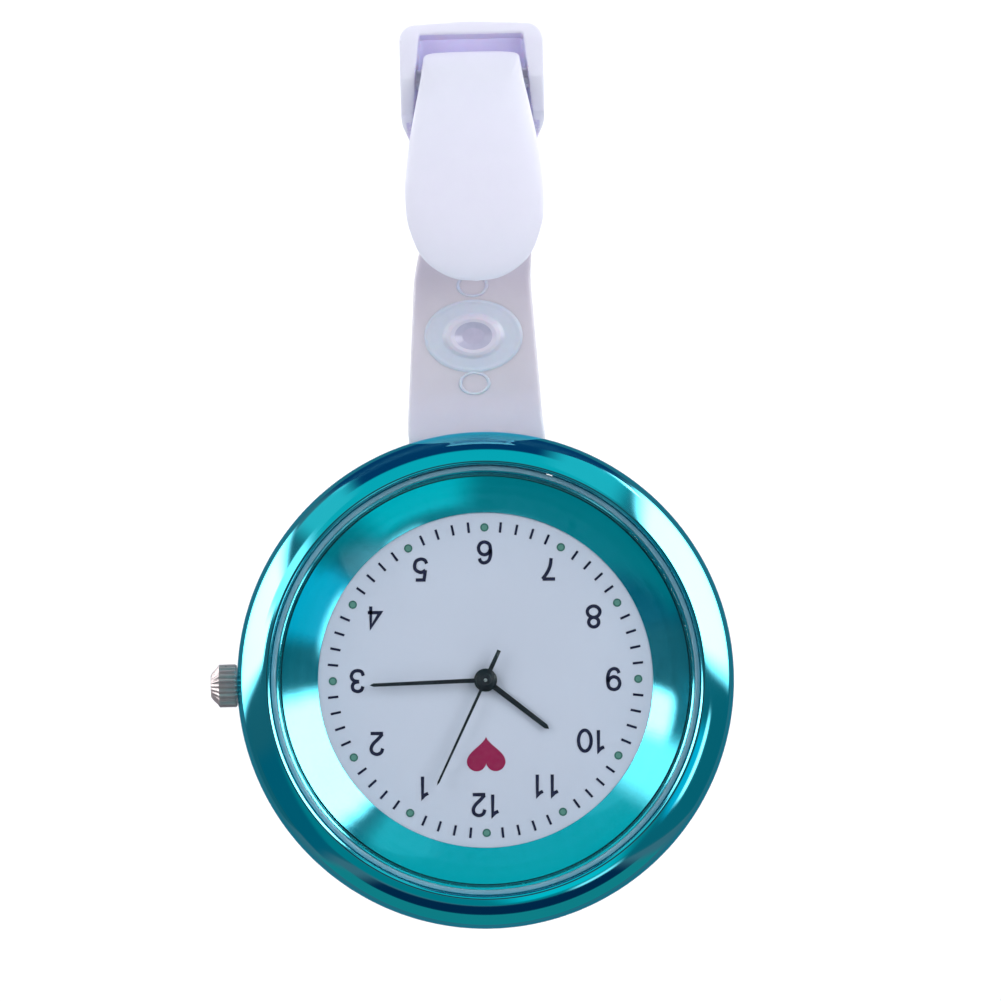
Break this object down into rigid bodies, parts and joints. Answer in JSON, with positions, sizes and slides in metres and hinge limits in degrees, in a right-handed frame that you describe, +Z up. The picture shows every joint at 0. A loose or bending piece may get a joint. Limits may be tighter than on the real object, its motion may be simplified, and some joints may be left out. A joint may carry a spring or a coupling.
{
  "type": "fob watch",
  "caption": "Round fob watch with an upside-down dial, hung on a short strap with a snap from a lever clip that grips cloth.",
  "frame": {"origin": "middle of the clip's jaw, on the front face of its plate, where the cloth is pinched", "axes": "+Z up as it hangs, towards the open end of the clip; -Y out of the dial towards the viewer; +X right as the dial is seen"},
  "size_m": [0.0476, 0.0101, 0.0822],
  "materials": {
    "white_plastic": "gloss white with a lilac cast",
    "clear_vinyl": "translucent frosted vinyl",
    "snap_plastic": "moulded, glossy",
    "teal_plating": "mirror polished teal plating",
    "crystal_glass": "polished clear",
    "gasket_rubber": "satin",
    "steel": "brushed",
    "crown_steel": "fluted, polished end",
    "dial_paint": "satin white paint",
    "black_paint": "satin black",
    "brass": "machined",
    "nylon": "moulded",
    "magnet": "ground",
    "copper": "fine enamelled wire",
    "board": "solder mask",
    "black_resin": "cast resin"
  },
  "bodies": {
    "clip": {"clip_base": "white_plastic"},
    "lever": {"clip_lever": "white_plastic"},
    "strap_upper": {"strap": "clear_vinyl", "snap_stud": "snap_plastic"},
    "flap": {"strap_flap": "clear_vinyl", "snap_socket": "snap_plastic"},
    "strap_loop": {"strap_lower": "clear_vinyl"},
    "case": {"bezel": "teal_plating", "crystal": "crystal_glass", "crystal_gasket": "gasket_rubber", "rehaut": "teal_plating", "case_body": "teal_plating", "case_back": "steel", "strap_bar": "steel", "dial": "dial_paint", "movement_holder": "nylon", "crown_tube": "steel", "main_plate": "brass", "train_bridge": "steel", "bridge_screw_1": "steel", "bridge_screw_2": "steel", "clamp_screw": "steel", "coil": "copper", "stator": "magnet", "circuit_board": "board", "ic_chip": "black_resin", "quartz_can": "steel", "battery": "steel", "battery_clamp": "steel"},
    "crown_slide": {"crown_gasket": "gasket_rubber"},
    "crown_turn": {"crown": "crown_steel", "stem": "steel"},
    "clutch": {"clutch_pinion": "steel"},
    "setting": {"setting_lever": "steel"},
    "seconds": {"fourth_wheel": "brass", "second_hand": "black_paint"},
    "fifth": {"fifth_wheel": "nylon"},
    "stepper": {"rotor": "magnet"},
    "third": {"third_wheel": "nylon"},
    "minutes": {"centre_wheel": "brass", "cannon_pinion": "steel", "minute_hand": "black_paint"},
    "minute_step": {"minute_wheel": "nylon"},
    "hours": {"hour_wheel": "brass", "hour_hand": "black_paint"}
  },
  "joints": [
    {"name": "lever_hinge", "type": "hinge", "parent": "clip", "child": "lever", "pos_m": [0, -0.0026, -0.0005], "axis": [-1, 0, 0], "range_deg": [0, 60]},
    {"name": "strap_swing", "type": "hinge", "parent": "clip", "child": "strap_upper", "pos_m": [0, 0.0008, -0.0144], "axis": [1, 0, 0], "range_deg": [-12, 25]},
    {"name": "snap_flap_open", "type": "hinge", "parent": "strap_upper", "child": "flap", "pos_m": [0, 0.0013, -0.0182], "axis": [1, 0, 0], "range_deg": [0, 40]},
    {"name": "strap_flex", "type": "hinge", "parent": "strap_upper", "child": "strap_loop", "pos_m": [0, 0.0008, -0.03105], "axis": [1, 0, 0], "range_deg": [-60, 30]},
    {"name": "case_swivel", "type": "hinge", "parent": "strap_loop", "child": "case", "pos_m": [0, 0.0008, -0.0356], "axis": [1, 0, 0], "range_deg": [-10, 25]},
    {"name": "crown_pull", "type": "slide", "parent": "case", "child": "crown_slide", "axis": [-1, 0, 0], "range_m": [0, 0.0008]},
    {"name": "crown_spin", "type": "hinge", "parent": "crown_slide", "child": "crown_turn", "pos_m": [-0.0238, 0, -0.055], "axis": [1, 0, 0], "continuous": true},
    {"name": "clutch_slide", "type": "slide", "parent": "crown_turn", "child": "clutch", "axis": [-1, 0, 0], "range_m": [-0.00125, 0]},
    {"name": "setting_lever_turn", "type": "hinge", "parent": "case", "child": "setting", "pos_m": [-0.0062, 0, -0.0528], "axis": [0, 1, 0], "range_deg": [0, 21]},
    {"name": "second_spin", "type": "hinge", "parent": "case", "child": "seconds", "pos_m": [0, 0, -0.055], "axis": [0, 1, 0], "continuous": true},
    {"name": "fifth_spin", "type": "hinge", "parent": "case", "child": "fifth", "pos_m": [-0.00108, 0, -0.05687], "axis": [0, 1, 0], "continuous": true},
    {"name": "rotor_spin", "type": "hinge", "parent": "case", "child": "stepper", "pos_m": [-0.00169, 0, -0.05855], "axis": [0, 1, 0], "continuous": true},
    {"name": "third_spin", "type": "hinge", "parent": "case", "child": "third", "pos_m": [-0.00036, 0, -0.05293], "axis": [0, 1, 0], "continuous": true},
    {"name": "minute_spin", "type": "hinge", "parent": "case", "child": "minutes", "pos_m": [0, 0, -0.055], "axis": [0, 1, 0], "continuous": true},
    {"name": "minute_wheel_spin", "type": "hinge", "parent": "case", "child": "minute_step", "pos_m": [-0.0018, 0, -0.05396], "axis": [0, 1, 0], "continuous": true},
    {"name": "hour_spin", "type": "hinge", "parent": "case", "child": "hours", "pos_m": [0, 0, -0.055], "axis": [0, 1, 0], "continuous": true}
  ],
  "couplings": [
    {"joint": "clutch_slide", "follows": "crown_pull", "ratio": -1.5625},
    {"joint": "setting_lever_turn", "follows": "crown_pull", "rad_per_m": 454.55},
    {"joint": "fifth_spin", "follows": "second_spin", "ratio": -5},
    {"joint": "rotor_spin", "follows": "second_spin", "ratio": 30},
    {"joint": "third_spin", "follows": "second_spin", "ratio": -0.13333},
    {"joint": "minute_spin", "follows": "second_spin", "ratio": 0.016667},
    {"joint": "minute_wheel_spin", "follows": "second_spin", "ratio": -0.0055556},
    {"joint": "hour_spin", "follows": "second_spin", "ratio": 0.0013889}
  ]
}
